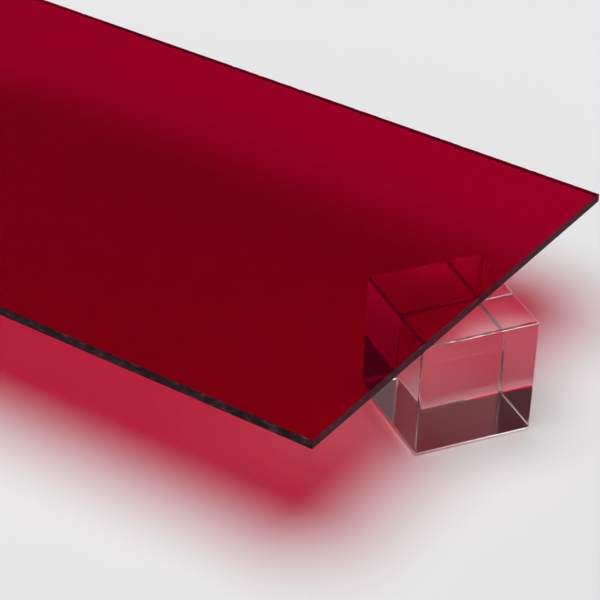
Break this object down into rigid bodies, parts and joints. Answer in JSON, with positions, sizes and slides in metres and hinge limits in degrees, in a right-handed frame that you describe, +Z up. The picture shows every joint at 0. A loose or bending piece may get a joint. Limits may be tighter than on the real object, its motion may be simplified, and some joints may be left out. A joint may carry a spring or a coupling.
{
  "type": "raised tinted display sheet",
  "caption": "Flat transparent red sheet with dark sawn edges, lying level and loose on solid clear cubes that hold it above a table and let coloured light fall below it.",
  "frame": {"origin": "on the table, below the middle of the sheet, which is also the middle of the object's box", "axes": "+X along the sheet's long side towards the cube at its right end, +Y along its short side, +Z up"},
  "size_m": [0.3686, 0.212, 0.0541],
  "materials": {
    "red_sheet": "polished transparent faces, dark sawn edges",
    "clear_cube": "polished clear"
  },
  "bodies": {
    "cubes": {"right_cube": "clear_cube", "left_cube": "clear_cube"},
    "sheet": {"tinted_sheet": "red_sheet"}
  },
  "joints": [
    {"name": "sheet_lift", "type": "slide", "parent": "cubes", "child": "sheet", "axis": [0, 0, 1], "range_m": [0, 0.08]}
  ]
}
